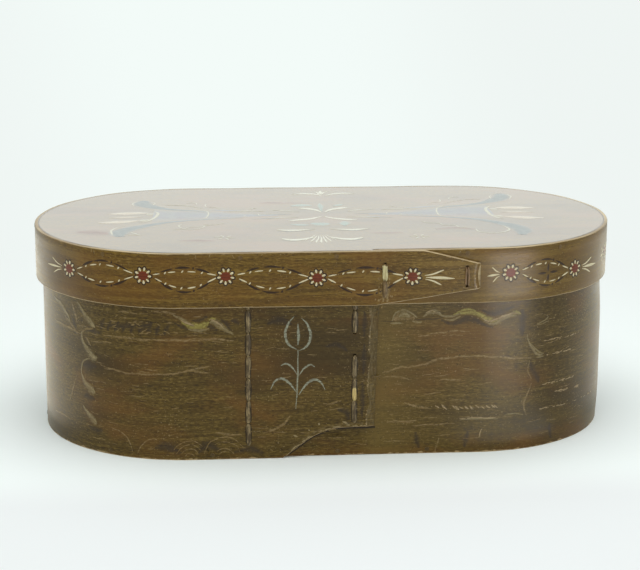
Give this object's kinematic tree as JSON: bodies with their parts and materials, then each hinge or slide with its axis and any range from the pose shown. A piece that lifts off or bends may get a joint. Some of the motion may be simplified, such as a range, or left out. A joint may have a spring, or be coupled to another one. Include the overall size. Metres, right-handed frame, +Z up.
{
  "type": "bentwood box",
  "caption": "Oval bentwood storage box: bent wooden bands, lapped and laced with root, round pegged boards, with a lift-off lid and painted folk ornament.",
  "frame": {"origin": "middle of the underside of the bottom board, halfway along the straight sides", "axes": "+X along the length to the right as seen from the laced front, +Y to the back, +Z up; the laced front faces -Y"},
  "size_m": [0.5009, 0.2639, 0.178],
  "materials": {
    "body_paint": "dark umber grained paint, worn and varnished",
    "lid_paint": "brown oil paint with folk ornament, varnished",
    "bare_wood": "unpainted aged softwood",
    "peg_wood": "whittled hardwood, painted over",
    "split_root": "split root, partly painted over, worn pale"
  },
  "bodies": {
    "box": {"body_band": "body_paint", "bottom_board": "bare_wood", "bottom_pegs": "peg_wood", "body_left_lacing": "split_root", "body_right_lacing": "split_root"},
    "lid": {"lid_band": "lid_paint", "lid_board": "lid_paint", "lid_pegs": "peg_wood", "lid_heel_lacing": "split_root", "lid_tip_lacing": "split_root"}
  },
  "joints": [
    {"name": "lid_lift", "type": "slide", "parent": "box", "child": "lid", "axis": [0, 0, 1], "range_m": [0, 0.2]}
  ]
}
